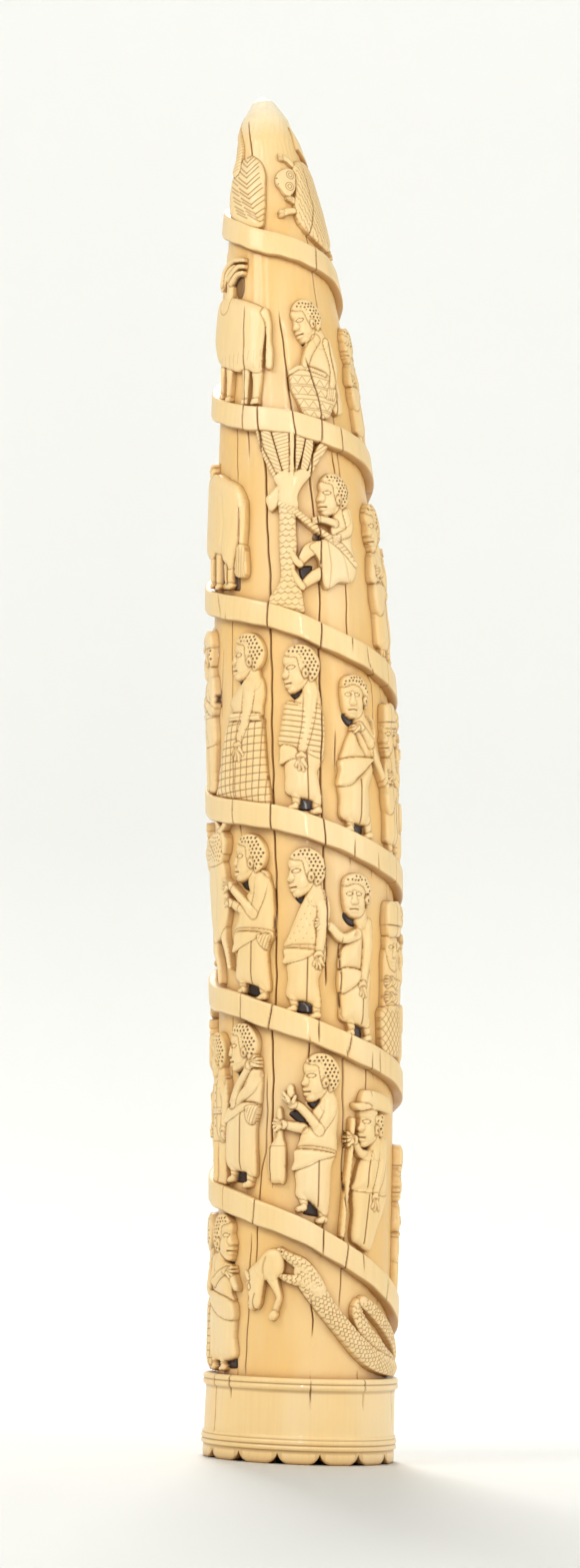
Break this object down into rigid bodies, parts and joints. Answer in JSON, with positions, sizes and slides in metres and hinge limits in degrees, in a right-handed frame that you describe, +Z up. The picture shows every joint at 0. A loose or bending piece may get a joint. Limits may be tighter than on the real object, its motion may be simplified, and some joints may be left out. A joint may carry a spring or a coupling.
{
  "type": "carved ivory tusk",
  "caption": "Carved elephant tusk with a spiral procession of people and animals in low relief, standing on a scalloped hollow base.",
  "frame": {"origin": "middle of the bottom of the object's box, on the surface it stands on", "axes": "+Z up the tusk from its base to its tip; -Y is the front with the palm and the python; +X is the viewer's right"},
  "size_m": [0.0908, 0.0954, 0.5472],
  "materials": {
    "ivory": "polished warm ivory, darker in the cuts and cracks"
  },
  "bodies": {
    "root": {"carved_tusk": "ivory"}
  },
  "joints": []
}
